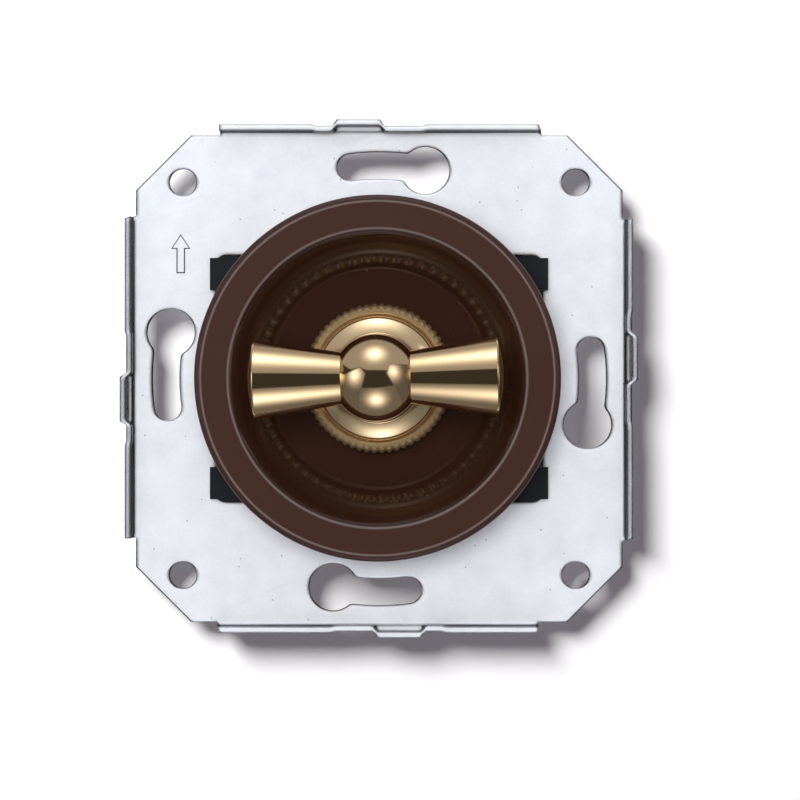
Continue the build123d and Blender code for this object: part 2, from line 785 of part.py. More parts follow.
# Wire guide: the rearmost plate, with a square entry for each wire and windows that save material
with BuildPart() as wire_guide:
    with BuildSketch(face(base_back_h)):
        RectangleRounded(2 * half_width, 2 * half_height, housing_corner)
    extrude(amount=terminal_back_h - base_back_h)
    chamfer(wire_guide.faces().sort_by(Axis.Y)[-1].edges(), base_chamfer)
    with BuildSketch(face(base_back_h)):
        for angle, offset in terminal_places.values():
            with PolarLocations(offset, 1, start_angle=angle):
                Rectangle(wire_entry, wire_entry)
        with GridLocations(2 * assembly_screw_x, 2 * assembly_screw_z, 2, 2):
            Circle(assembly_screw_radius + seat_clearance)
        with Locations((-relief_spacing / 2, -relief_z), (relief_spacing / 2, -relief_z)):
            RectangleRounded(relief_width, relief_height, relief_corner)
    extrude(amount=terminal_back_h - base_back_h, mode=Mode.SUBTRACT)
    with BuildSketch(face(base_back_h)):
        with GridLocations(2 * assembly_screw_x, 2 * assembly_screw_z, 2, 2):
            Circle(assembly_head_radius + assembly_head_clearance)
    extrude(amount=assembly_head_recess + assembly_head_thickness, mode=Mode.SUBTRACT)
finish(wire_guide, "wire_guide")

# Terminals: brass blocks, each with a wire hole from behind and a clamp screw from the side
for name, (angle, offset) in terminal_places.items():
    with BuildPart() as terminal:
        with BuildSketch(face(terminal_back_h)):
            with PolarLocations(offset, 1, start_angle=angle):
                Rectangle(terminal_depth, terminal_width)
        extrude(amount=terminal_length)
        with BuildSketch(face(terminal_back_h)):
            with PolarLocations(offset, 1, start_angle=angle):
                Circle(wire_hole_radius)
        extrude(amount=wire_hole_depth, mode=Mode.SUBTRACT)
        with BuildSketch(beside(angle, offset, clamp_h)):
            Circle(clamp_screw_radius + press_clearance)
        extrude(amount=terminal_depth, mode=Mode.SUBTRACT)
    finish(terminal, f"{name}_terminal")

with BuildPart() as clamp_screws:
    for angle, offset in terminal_places.values():
        seat = offset + terminal_depth / 2
        with BuildSketch(beside(angle, offset + wire_hole_radius / 2, clamp_h)):
            Circle(clamp_screw_radius)
        extrude(amount=seat - offset - wire_hole_radius / 2)
        with BuildSketch(beside(angle, seat, clamp_h)):
            Circle(clamp_head_radius)
        extrude(amount=clamp_head_thickness)
        with BuildSketch(beside(angle, seat + clamp_head_thickness, clamp_h)):
            Rectangle(screw_slot_width, 2 * clamp_head_radius)
        extrude(amount=-screw_slot_depth, mode=Mode.SUBTRACT)
finish(clamp_screws, "clamp_screws")

# Assembly screws: four long screws from behind hold the base on the housing
with BuildPart() as assembly_screws:
    with GridLocations(2 * assembly_screw_x, 2 * assembly_screw_z, 2, 2) as corners:
        places = [(place.position.X, place.position.Y) for place in corners]
    head_back_h = base_back_h + assembly_head_recess
    with BuildSketch(face(head_back_h)):
        with Locations(*places):
            Circle(assembly_head_radius)
    extrude(amount=assembly_head_thickness)
    with BuildSketch(face(head_back_h + assembly_head_thickness)):
        with Locations(*places):
            Circle(assembly_screw_radius)
    extrude(amount=assembly_screw_length)
    with BuildSketch(face(head_back_h)):
        with Locations(*places):
            Rectangle(2 * assembly_head_radius, screw_slot_width)
    extrude(amount=screw_slot_depth, mode=Mode.SUBTRACT)
finish(assembly_screws, "assembly_screws")
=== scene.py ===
# %% [markdown]
# # A turn-handle light switch on its steel support plate
#
# This lesson dresses a switch whose solids were drawn in CAD. The solids give every size and
# place. Blender adds what the eye needs: smooth polished brass, glossy dark plastic, a
# zinc-plated sheet with its fine marks, and a small studio that these can reflect.
# The wall lies behind the plate, the viewer stands on the -Y side, and +Z is up.

# %% Load the frame
import math

import bmesh
import bpy
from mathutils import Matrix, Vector
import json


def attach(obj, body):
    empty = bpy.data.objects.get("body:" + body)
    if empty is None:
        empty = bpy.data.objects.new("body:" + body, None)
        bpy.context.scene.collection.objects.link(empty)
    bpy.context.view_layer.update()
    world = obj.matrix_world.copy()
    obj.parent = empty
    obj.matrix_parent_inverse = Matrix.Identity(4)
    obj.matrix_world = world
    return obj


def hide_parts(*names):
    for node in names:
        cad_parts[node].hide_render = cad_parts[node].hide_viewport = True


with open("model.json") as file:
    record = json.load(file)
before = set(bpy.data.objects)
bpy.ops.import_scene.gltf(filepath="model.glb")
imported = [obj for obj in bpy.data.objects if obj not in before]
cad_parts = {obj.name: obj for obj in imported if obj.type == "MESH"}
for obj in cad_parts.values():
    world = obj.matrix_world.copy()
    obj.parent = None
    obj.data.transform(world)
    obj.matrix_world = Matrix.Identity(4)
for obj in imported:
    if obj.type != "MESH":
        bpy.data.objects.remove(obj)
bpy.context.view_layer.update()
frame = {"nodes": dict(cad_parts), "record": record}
MM = 0.001

# %% [markdown]
# ## Camera
#
# The switch is seen square on, from about 35 cm, a little right of its middle. A real lens
# this near lets the raised rim and the handle grow against the plate, so a perspective
# camera is used and not a flat view. The frame was cropped a little to one side, which a
# small lens shift repeats.

# %% Camera
CAMERA_RIGHT = 10 * MM
CAMERA_UP = -3.0 * MM
CAMERA_DISTANCE = 350 * MM

lens = bpy.data.cameras.new("studio_camera")
lens.sensor_width = 36
lens.lens = 111.8
lens.shift_x = -0.063
lens.clip_start = 0.01
camera = bpy.data.objects.new("studio_camera", lens)
camera.location = (CAMERA_RIGHT, -CAMERA_DISTANCE, CAMERA_UP)
camera.rotation_euler = (math.radians(90), 0, 0)
bpy.context.scene.collection.objects.link(camera)
bpy.context.scene.camera = camera
bpy.context.scene.view_settings.view_transform = "Standard"
print("camera at", tuple(round(v, 4) for v in camera.location))

# %% [markdown]
# ## Small helpers for node trees
#
# Every material below is built from the same few steps: make a tree, add nodes, join
# sockets. Two short helpers keep the later cells readable.


# %% Node helpers
def add_node(tree, kind, **settings):
    """A node of that kind, with its properties and the inputs named in settings."""
    node = tree.nodes.new(kind)
    for name, value in settings.items():
        if hasattr(node, name):
            setattr(node, name, value)
        else:
            node.inputs[name].default_value = value
    return node


def join(tree, output, target):
    """A wire from one socket to another."""
    tree.links.new(output, target)


def new_group(name, inputs, outputs):
    """An empty shader group with float or colour sockets."""
    group = bpy.data.node_groups.new(name, "ShaderNodeTree")
    for label, kind, default in inputs:
        socket = group.interface.new_socket(label, in_out="INPUT", socket_type=kind)
        if default is not None:
            socket.default_value = default
    for label, kind in outputs:
        group.interface.new_socket(label, in_out="OUTPUT", socket_type=kind)
    return group, add_node(group, "NodeGroupInput"), add_node(group, "NodeGroupOutput")


print("node helpers ready")

# %% [markdown]
# ## Studio
#
# Polished brass has no colour of its own worth speaking of: it shows what stands round it.
# The switch was lit in a small tent, with a white diffuser above, below and on each side,
# each brightest where its lamp stands behind it, and a dark gap in the middle for the
# camera. Four glowing sheets copy that. Lamps alone would give round dots on the ball.


# %% Diffusers of the light tent
TENT = 0.6
TENT_TINT = (0.93, 0.97, 1.08)
HOT_SPOT_POWER = 3.0


def mirrored(across, up):
    """Where a polished ball shows a thing: the place on its face, from -1 to 1, gives the
    direction in which the thing stands."""
    depth = math.sqrt(max(0.0, 1 - across * across - up * up))
    return Vector((2 * depth * across, 1 - 2 * depth * depth, 2 * depth * up))


def glow_material(name, lamp_at, spread, base, peak):
    """Cloth lit from behind: an even glow with a soft hot spot where the lamp is."""
    material = bpy.data.materials.new(name)
    material.use_nodes = True
    tree = material.node_tree
    tree.nodes.clear()
    place = add_node(tree, "ShaderNodeNewGeometry")
    gap = add_node(tree, "ShaderNodeVectorMath", operation="DISTANCE")
    gap.inputs[1].default_value = lamp_at
    near = add_node(tree, "ShaderNodeMapRange")
    near.inputs["From Min"].default_value = spread
    near.inputs["From Max"].default_value = 0
    fall = add_node(tree, "ShaderNodeMath", operation="POWER")
    fall.inputs[1].default_value = HOT_SPOT_POWER
    total = add_node(tree, "ShaderNodeMath", operation="MULTIPLY_ADD")
    total.inputs[1].default_value = peak
    total.inputs[2].default_value = base
    glow = add_node(tree, "ShaderNodeEmission", Color=(*TENT_TINT, 1))
    out = add_node(tree, "ShaderNodeOutputMaterial")
    join(tree, place.outputs["Position"], gap.inputs[0])
    join(tree, gap.outputs["Value"], near.inputs["Value"])
    join(tree, near.outputs["Result"], fall.inputs[0])
    join(tree, fall.outputs[0], total.inputs[0])
    join(tree, total.outputs[0], glow.inputs["Strength"])
    join(tree, glow.outputs["Emission"], out.inputs["Surface"])
    return material


def diffuser(name, corners, lamp_at, spread, base, peak):
    """A glowing sheet of the tent, given by its outline as the ball shows it."""
    shape = bmesh.new()
    shape.faces.new([shape.verts.new((across, up, 0)) for across, up in corners])
    bmesh.ops.triangulate(shape, faces=shape.faces)
    for _ in range(3):
        bmesh.ops.subdivide_edges(shape, edges=shape.edges, cuts=1, use_grid_fill=True)
    for vertex in shape.verts:
        vertex.co = mirrored(vertex.co.x, vertex.co.y) * TENT
    mesh = bpy.data.meshes.new(name)
    shape.to_mesh(mesh)
    shape.free()
    sheet = bpy.data.objects.new(name, mesh)
    mesh.materials.append(glow_material(name + "_glow", mirrored(*lamp_at) * TENT, spread, base, peak))
    bpy.context.scene.collection.objects.link(sheet)
    sheet.visible_camera = False
    sheet.visible_shadow = False
    sheet.light_linking.receiver_collection = not_paper
    return sheet


only_paper = bpy.data.collections.new("only_paper")
not_paper = bpy.data.collections.new("not_paper")
top_corners = [(-0.20, 0.164), (0.27, 0.164), (0.32, 0.298), (0.67, 0.298), (0.94, 0.26), (0.80, 0.58),
               (0.50, 0.85), (0, 0.985), (-0.50, 0.85), (-0.80, 0.58), (-0.94, 0.28), (-0.80, 0.33),
               (-0.55, 0.18), (-0.35, 0.23)]
left_corners = [(-0.35, 0.22), (-0.225, 0.10), (-0.28, -0.12), (-0.31, -0.23), (-0.38, -0.37),
                (-0.40, -0.62), (-0.37, -0.80), (-0.60, -0.66), (-0.72, -0.45), (-0.77, -0.10),
                (-0.77, 0.03), (-0.70, 0.06)]
right_corners = [(0.32, 0.29), (0.25, 0.10), (0.39, -0.15), (0.455, -0.254), (0.52, -0.37), (0.59, -0.59),
                 (0.62, -0.72), (0.72, -0.45), (0.78, -0.10), (0.78, 0.20), (0.67, 0.29)]
bottom_corners = [(-0.31, -0.235), (0.05, -0.225), (0.42, -0.175), (0.455, -0.26), (0.52, -0.38),
                  (0.59, -0.60), (0.61, -0.77), (0.35, -0.92), (0, -0.985), (-0.30, -0.94),
                  (-0.36, -0.82), (-0.395, -0.63), (-0.375, -0.38)]
tent = [
    diffuser("diffuser_top", top_corners, lamp_at=(-0.02, 0.53), spread=0.48, base=0.38, peak=3.4),
    diffuser("diffuser_left", left_corners, lamp_at=(-0.46, 0.06), spread=0.46, base=0.15, peak=2.6),
    diffuser("diffuser_right", right_corners, lamp_at=(0.39, 0.14), spread=0.44, base=0.13, peak=2.4),
    diffuser("diffuser_bottom", bottom_corners, lamp_at=(0.02, -0.49), spread=0.47, base=0.18, peak=2.9),
]
print("tent sheets:", [sheet.name for sheet in tent])

# %% [markdown]
# ## Lamps, backdrop and floor
#
# Two lamps share the work. One stands above and to the left and lights the paper alone: it
# throws the soft shadow down to the right. The other stands near the lens and lights the
# switch alone, evenly. Light linking keeps them apart, and neither shows in a reflection,
# because the tent is what brass should show. The pale board close behind the plate has an
# opening for the mechanism, as a wall has for its box, and a dark sheet deeper in it is
# painted shade for the inside of that box. Both are see-through from behind, so that the rear
# of the switch can be looked at too. A small disc behind one corner hole keeps a stray spot of
# light out of the shadow. The room beyond is white for the camera and nearly dark in reflections.


# %% Lamps
def area_lamp(name, position, size, watts, in_reflections):
    """A round area lamp that looks at the middle of the switch."""
    data = bpy.data.lights.new(name, "AREA")
    data.shape = "DISK"
    data.size = size
    data.energy = watts
    lamp = bpy.data.objects.new(name, data)
    lamp.location = position
    lamp.rotation_euler = (-Vector(position)).to_track_quat("-Z", "Y").to_euler()
    bpy.context.scene.collection.objects.link(lamp)
    lamp.visible_glossy = in_reflections
    return lamp


SHADOW_RIGHT, SHADOW_DOWN = 0.59, 0.68
key = area_lamp("shadow_lamp", (-SHADOW_RIGHT, -1.0, SHADOW_DOWN), size=0.70, watts=26.0,
                in_reflections=False)
key.light_linking.receiver_collection = only_paper
fill = area_lamp("fill_lamp", (-0.08, -0.80, 0.10), size=0.5, watts=9.5, in_reflections=False)
fill.light_linking.receiver_collection = not_paper
rear = area_lamp("rear_lamp", (0.5, 0.9, 0.7), size=0.6, watts=30.0, in_reflections=True)
print("lamps:", key.name, fill.name, rear.name)


# %% Backdrop and floor
def pale_ground(name, seen, shade, one_sided, haze_amount, haze_tint=(1, 1, 1)):
    """White paper for the camera; in bounces it counts as a darker shade. A little haze keeps
    the shadow on it as light as the photograph shows it."""
    material = bpy.data.materials.new(name)
    material.use_nodes = True
    tree = material.node_tree
    tree.nodes.clear()
    path = add_node(tree, "ShaderNodeLightPath")
    lift = add_node(tree, "ShaderNodeMapRange")
    lift.inputs["To Min"].default_value = shade
    lift.inputs["To Max"].default_value = seen
    paper = add_node(tree, "ShaderNodeBsdfDiffuse")
    out = add_node(tree, "ShaderNodeOutputMaterial")
    haze_gain = add_node(tree, "ShaderNodeMath", operation="MULTIPLY")
    haze_gain.inputs[1].default_value = haze_amount
    haze = add_node(tree, "ShaderNodeEmission", Color=(*haze_tint, 1))
    hazy = add_node(tree, "ShaderNodeAddShader")
    join(tree, path.outputs["Is Camera Ray"], lift.inputs["Value"])
    join(tree, path.outputs["Is Camera Ray"], haze_gain.inputs[0])
    join(tree, haze_gain.outputs[0], haze.inputs["Strength"])
    join(tree, lift.outputs["Result"], paper.inputs["Color"])
    join(tree, paper.outputs["BSDF"], hazy.inputs[0])
    join(tree, haze.outputs["Emission"], hazy.inputs[1])
    surface = hazy.outputs["Shader"]
    if one_sided:
        side = add_node(tree, "ShaderNodeNewGeometry")
        clear = add_node(tree, "ShaderNodeBsdfTransparent")
        pick = add_node(tree, "ShaderNodeMixShader")
        join(tree, side.outputs["Backfacing"], pick.inputs["Fac"])
        join(tree, surface, pick.inputs[1])
        join(tree, clear.outputs["BSDF"], pick.inputs[2])
        surface = pick.outputs["Shader"]
    join(tree, surface, out.inputs["Surface"])
    return material


def flat_sheet(name, corners, faces, material):
    """A stage sheet; the front of a face is where its corners run counter-clockwise."""
    mesh = bpy.data.meshes.new(name)
    mesh.from_pydata(corners, [], faces)
    mesh.materials.append(material)
    sheet = bpy.data.objects.new(name, mesh)
    bpy.context.scene.collection.objects.link(sheet)
    return sheet


BACKDROP_Y = 3.3 * MM
WIDE, FLOOR_Z, FLOOR_HALF = 0.45, -0.62, 3
CUT_X, CUT_Z = 25 * MM, 20.5 * MM
PAPER_SEEN, PAPER_BOUNCED = 0.97, 0.22
SHADOW_TINT = (1.0, 0.87, 1.02)
square = [(-1, -1), (1, -1), (1, 1), (-1, 1)]
outer = [(-WIDE, FLOOR_Z), (WIDE, FLOOR_Z), (WIDE, WIDE), (-WIDE, WIDE)]
inner = [(x * CUT_X, z * CUT_Z) for x, z in square]
papers = [
    flat_sheet("backdrop", [(x, BACKDROP_Y, z) for x, z in outer + inner],
               [(k, (k + 1) % 4, 4 + (k + 1) % 4, 4 + k) for k in range(4)],
               pale_ground("backdrop_paper", PAPER_SEEN, PAPER_BOUNCED, one_sided=True, haze_amount=0.14,
                           haze_tint=SHADOW_TINT)),
    flat_sheet("floor", [(x * FLOOR_HALF, y * FLOOR_HALF, FLOOR_Z) for x, y in square], [(0, 1, 2, 3)],
               pale_ground("floor_paper", PAPER_SEEN, PAPER_BOUNCED, one_sided=False, haze_amount=0.6)),
]

# The box sheet is painted shade: a dark grey sheet, seen by the camera alone, for the inside of the box.
BOX_Y, BOX_WIDER, BOX_HIGHER, BOX_SHADE_GREY = 30 * MM, 1.04, 1.08, 0.04
box_corners = [(x * BOX_WIDER, BOX_Y, z * BOX_HIGHER) for x, z in inner]
box_shade = flat_sheet("box_shade", box_corners, [(0, 1, 2, 3)],
                       pale_ground("box_painted_shade", BOX_SHADE_GREY, BOX_SHADE_GREY, one_sided=True, haze_amount=0.0))
box_shade.visible_shadow = box_shade.visible_glossy = box_shade.visible_diffuse = False

FLAG_X, FLAG_Y, FLAG_Z, FLAG_RADIUS, FLAG_SIDES = 28.0 * MM, 0.4 * MM, -27.9 * MM, 1.2 * MM, 16
flag_angles = [2 * math.pi * k / FLAG_SIDES for k in range(FLAG_SIDES)]
flag = flat_sheet("shadow_flag", [(FLAG_X + FLAG_RADIUS * math.sin(angle), FLAG_Y,
                                   FLAG_Z + FLAG_RADIUS * math.cos(angle)) for angle in flag_angles],
                  [tuple(range(FLAG_SIDES))],
                  pale_ground("flag_paper", 0.9, PAPER_BOUNCED, one_sided=False, haze_amount=0.0))
flag.visible_camera = flag.visible_glossy = flag.visible_diffuse = False

for paper in papers:
    paper.visible_glossy = False
    only_paper.objects.link(paper)
    not_paper.objects.link(paper)
for group, state in ((only_paper, "INCLUDE"), (not_paper, "EXCLUDE")):
    for member in group.collection_objects:
        member.light_linking.link_state = state
print("backdrop at", BACKDROP_Y / MM, "mm behind the wall face, floor at", FLOOR_Z)

# %% Room
ROOM_IN_REFLECTIONS, ROOM_SEEN = 0.055, 1.0
world = bpy.data.worlds.new("studio_room")
bpy.context.scene.world = world
world.use_nodes = True
room = world.node_tree
room.nodes.clear()
path = add_node(room, "ShaderNodeLightPath")
room_glow = add_node(room, "ShaderNodeMapRange")
room_glow.inputs["To Min"].default_value = ROOM_IN_REFLECTIONS
room_glow.inputs["To Max"].default_value = ROOM_SEEN
background = add_node(room, "ShaderNodeBackground")
room_out = add_node(room, "ShaderNodeOutputWorld")
join(room, path.outputs["Is Camera Ray"], room_glow.inputs["Value"])
join(room, room_glow.outputs["Result"], background.inputs["Strength"])
join(room, background.outputs["Background"], room_out.inputs["Surface"])
print("room glow:", ROOM_IN_REFLECTIONS, "in reflections,", ROOM_SEEN, "for the camera")

# %% [markdown]
# ## Surface effects shared by the materials
#
# No real surface is even. Three effects return on nearly every piece: a fine grain with a
# slow cloudiness, hair-fine scratches, and specks of dust. Two more are masks. At rolled
# edges and bends, those that turn sideways get painted shade. Beyond a radius about the
# middle another finish begins; on the cover that lighter rim is partly painted light, and two
# narrow rings there are painted highlights. Each is a node group, made once and placed in a
# material with its own values, so that a change reaches all of them.


# %% Grain group
def grain_group():
    """Fine grain and slow clouds, as one colour factor and one height."""
    group, given, result = new_group(
        "surface_grain",
        [("Grain Scale", "NodeSocketFloat", 3000.0), ("Cloud Scale", "NodeSocketFloat", 120.0),
         ("Grain Amount", "NodeSocketFloat", 0.5), ("Cloud Amount", "NodeSocketFloat", 0.5)],
        [("Factor", "NodeSocketFloat"), ("Height", "NodeSocketFloat")])
    place = add_node(group, "ShaderNodeTexCoord")
    grain = add_node(group, "ShaderNodeTexNoise", Detail=3.0, Roughness=0.6)
    cloud = add_node(group, "ShaderNodeTexNoise", Detail=4.0, Roughness=0.55)
    join(group, place.outputs["Object"], grain.inputs["Vector"])
    join(group, place.outputs["Object"], cloud.inputs["Vector"])
    join(group, given.outputs["Grain Scale"], grain.inputs["Scale"])
    join(group, given.outputs["Cloud Scale"], cloud.inputs["Scale"])
    parts = []
    for texture, amount in ((grain, "Grain Amount"), (cloud, "Cloud Amount")):
        centred = add_node(group, "ShaderNodeMath", operation="SUBTRACT")
        centred.inputs[1].default_value = 0.5
        scaled = add_node(group, "ShaderNodeMath", operation="MULTIPLY")
        join(group, texture.outputs["Fac"], centred.inputs[0])
        join(group, centred.outputs[0], scaled.inputs[0])
        join(group, given.outputs[amount], scaled.inputs[1])
        parts.append(scaled)
    total = add_node(group, "ShaderNodeMath", operation="ADD")
    join(group, parts[0].outputs[0], total.inputs[0])
    join(group, parts[1].outputs[0], total.inputs[1])
    middle = add_node(group, "ShaderNodeMath", operation="ADD", use_clamp=True)
    middle.inputs[1].default_value = 0.5
    join(group, total.outputs[0], middle.inputs[0])
    join(group, middle.outputs[0], result.inputs["Factor"])
    join(group, grain.outputs["Fac"], result.inputs["Height"])
    return group


surface_grain = grain_group()
print("group:", surface_grain.name)


# %% Scratch group
STRETCH = (0.12, 1.0, 1.0)
PATCH_SCALE, PATCH_LEVEL = 220.0, 0.58


def scratch_group():
    """Long thin marks: stretched noise, cut to a narrow line where it crosses its middle."""
    group, given, result = new_group(
        "fine_scratches",
        [("Scale", "NodeSocketFloat", 60.0), ("Width", "NodeSocketFloat", 0.01),
         ("Turn", "NodeSocketFloat", 0.4)],
        [("Mask", "NodeSocketFloat")])
    place = add_node(group, "ShaderNodeTexCoord")
    turned = add_node(group, "ShaderNodeVectorRotate", rotation_type="Y_AXIS")
    stretched = add_node(group, "ShaderNodeVectorMath", operation="MULTIPLY")
    stretched.inputs[1].default_value = STRETCH
    noise = add_node(group, "ShaderNodeTexNoise", Detail=1.0)
    patch = add_node(group, "ShaderNodeTexNoise", Scale=PATCH_SCALE, Detail=1.0)
    join(group, place.outputs["Object"], turned.inputs["Vector"])
    join(group, given.outputs["Turn"], turned.inputs["Angle"])
    join(group, turned.outputs["Vector"], stretched.inputs[0])
    join(group, stretched.outputs["Vector"], noise.inputs["Vector"])
    join(group, place.outputs["Object"], patch.inputs["Vector"])
    join(group, given.outputs["Scale"], noise.inputs["Scale"])
    off = add_node(group, "ShaderNodeMath", operation="SUBTRACT")
    off.inputs[1].default_value = 0.5
    near = add_node(group, "ShaderNodeMath", operation="ABSOLUTE")
    line = add_node(group, "ShaderNodeMath", operation="LESS_THAN")
    some = add_node(group, "ShaderNodeMath", operation="GREATER_THAN")
    some.inputs[1].default_value = PATCH_LEVEL
    both = add_node(group, "ShaderNodeMath", operation="MULTIPLY")
    join(group, noise.outputs["Fac"], off.inputs[0])
    join(group, off.outputs[0], near.inputs[0])
    join(group, near.outputs[0], line.inputs[0])
    join(group, given.outputs["Width"], line.inputs[1])
    join(group, patch.outputs["Fac"], some.inputs[0])
    join(group, line.outputs[0], both.inputs[0])
    join(group, some.outputs[0], both.inputs[1])
    join(group, both.outputs[0], result.inputs["Mask"])
    return group


fine_scratches = scratch_group()
print("group:", fine_scratches.name)


# %% Dust group
DUST_PATCH_SCALE = 180.0


def dust_group():
    """Scattered specks: the small middles of Voronoi cells, where a slow noise lets them lie."""
    group, given, result = new_group(
        "dust_specks",
        [("Scale", "NodeSocketFloat", 700.0), ("Size", "NodeSocketFloat", 0.06),
         ("Cover", "NodeSocketFloat", 0.5)],
        [("Mask", "NodeSocketFloat")])
    place = add_node(group, "ShaderNodeTexCoord")
    cells = add_node(group, "ShaderNodeTexVoronoi")
    patch = add_node(group, "ShaderNodeTexNoise", Scale=DUST_PATCH_SCALE, Detail=2.0)
    small = add_node(group, "ShaderNodeMath", operation="LESS_THAN")
    allowed = add_node(group, "ShaderNodeMath", operation="LESS_THAN")
    both = add_node(group, "ShaderNodeMath", operation="MULTIPLY")
    join(group, place.outputs["Object"], cells.inputs["Vector"])
    join(group, place.outputs["Object"], patch.inputs["Vector"])
    join(group, given.outputs["Scale"], cells.inputs["Scale"])
    join(group, cells.outputs["Distance"], small.inputs[0])
    join(group, given.outputs["Size"], small.inputs[1])
    join(group, patch.outputs["Fac"], allowed.inputs[0])
    join(group, given.outputs["Cover"], allowed.inputs[1])
    join(group, small.outputs[0], both.inputs[0])
    join(group, allowed.outputs[0], both.inputs[1])
    join(group, both.outputs[0], result.inputs["Mask"])
    return group


dust_specks = dust_group()
print("group:", dust_specks.name)


# %% Edge group, with the mask for painted edge shade
EDGE_RADIUS = 0.9 * MM
EDGE_SHADE_BEGINS = 0.994
UPRIGHT_EASE = 0.25


def edge_group():
    """Where a face rolls over into an edge or a bend: a mask for painted shade, and the rounded normal.
    Edges that turn up or down get less painted shade than those that turn sideways, away from the light."""
    group, given, result = new_group("rolled_edge_and_shade", [("Depth", "NodeSocketFloat", 0.5)],
                                     [("Mask", "NodeSocketFloat"), ("Normal", "NodeSocketVector")])
    rolled = add_node(group, "ShaderNodeBevel", samples=8, Radius=EDGE_RADIUS)
    towards = add_node(group, "ShaderNodeSeparateXYZ")
    frontal = add_node(group, "ShaderNodeMath", operation="ABSOLUTE")
    upright = add_node(group, "ShaderNodeMath", operation="ABSOLUTE")
    eased = add_node(group, "ShaderNodeMath", operation="MULTIPLY_ADD")
    eased.inputs[1].default_value = UPRIGHT_EASE
    fall = add_node(group, "ShaderNodeMapRange", interpolation_type="SMOOTHSTEP")
    fall.inputs["From Min"].default_value = EDGE_SHADE_BEGINS
    fall.inputs["To Min"].default_value = 0.0
    fall.inputs["To Max"].default_value = 1.0
    join(group, rolled.outputs["Normal"], towards.inputs["Vector"])
    join(group, towards.outputs["Y"], frontal.inputs[0])
    join(group, towards.outputs["Z"], upright.inputs[0])
    join(group, upright.outputs[0], eased.inputs[0])
    join(group, frontal.outputs[0], eased.inputs[2])
    join(group, eased.outputs[0], fall.inputs["Value"])
    join(group, given.outputs["Depth"], fall.inputs["From Max"])
    join(group, fall.outputs["Result"], result.inputs["Mask"])
    join(group, rolled.outputs["Normal"], result.inputs["Normal"])
    return group


rolled_edge_and_shade = edge_group()
print("group:", rolled_edge_and_shade.name)


# %% Radius group
RADIUS_BLUR = 0.15 * MM
FRONT_FACING = -0.5


def radius_group():
    """One outside a radius about the wall axis, nought inside it; Front leaves out side walls."""
    group, given, result = new_group("outside_radius", [("Radius", "NodeSocketFloat", 0.02)],
                                     [("Mask", "NodeSocketFloat"), ("Front", "NodeSocketFloat")])
    place = add_node(group, "ShaderNodeTexCoord")
    flat = add_node(group, "ShaderNodeVectorMath", operation="MULTIPLY")
    flat.inputs[1].default_value = (1, 0, 1)
    reach = add_node(group, "ShaderNodeVectorMath", operation="LENGTH")
    beyond = add_node(group, "ShaderNodeMath", operation="SUBTRACT")
    ramp = add_node(group, "ShaderNodeMapRange", interpolation_type="SMOOTHSTEP")
    ramp.inputs["From Min"].default_value = -RADIUS_BLUR
    ramp.inputs["From Max"].default_value = RADIUS_BLUR
    join(group, place.outputs["Object"], flat.inputs[0])
    join(group, flat.outputs["Vector"], reach.inputs[0])
    join(group, reach.outputs["Value"], beyond.inputs[0])
    join(group, given.outputs["Radius"], beyond.inputs[1])
    join(group, beyond.outputs[0], ramp.inputs["Value"])
    towards = add_node(group, "ShaderNodeSeparateXYZ")
    facing = add_node(group, "ShaderNodeMath", operation="GREATER_THAN")
    facing.inputs[0].default_value = FRONT_FACING
    front = add_node(group, "ShaderNodeMath", operation="MULTIPLY")
    join(group, place.outputs["Normal"], towards.inputs["Vector"])
    join(group, towards.outputs["Y"], facing.inputs[1])
    join(group, ramp.outputs["Result"], front.inputs[0])
    join(group, facing.outputs[0], front.inputs[1])
    join(group, ramp.outputs["Result"], result.inputs["Mask"])
    join(group, front.outputs[0], result.inputs["Front"])
    return group


outside_radius = radius_group()
print("group:", outside_radius.name)

# %% [markdown]
# ## One recipe for every finish
#
# A finish is a colour, how metallic and how rough it is, and how much of each effect it
# shows. Writing that once keeps the finishes of the switch comparable: only the values
# differ from metal to plastic.


# %% Finish recipe
RELIEF_HEIGHT = 0.2 * MM
SCRATCH_ROUGHENS = 0.25
EDGE_SHADE_DEPTH = 0.94
# The default ring colour is a painted highlight: a light line where an edge of the cover catches the light.
PAINTED_RING_HIGHLIGHT = ((0.10, 0.08, 0.072), 0.2, 0.0)


def place_group(tree, group, **values):
    """A shared group placed in a material with its own values."""
    node = add_node(tree, "ShaderNodeGroup", node_tree=group)
    for name, value in values.items():
        node.inputs[name.replace("_", " ")].default_value = value
    return node


def overlay(tree, shader, state, mask, values):
    """Mix another colour, roughness and metallic share over a finish where the mask is white."""
    for target, value in zip(("Base Color", "Roughness", "Metallic"), values):
        if state[target] == value:
            continue
        is_colour = target == "Base Color"
        blend = add_node(tree, "ShaderNodeMix", data_type="RGBA" if is_colour else "FLOAT")
        blend.inputs["B"].default_value = (*value, 1) if is_colour else value
        join(tree, mask, blend.inputs["Factor"])
        if isinstance(state[target], float):
            blend.inputs["A"].default_value = state[target]
        else:
            join(tree, state[target], blend.inputs["A"])
        state[target] = blend.outputs["Result"]
        join(tree, state[target], shader.inputs[target])


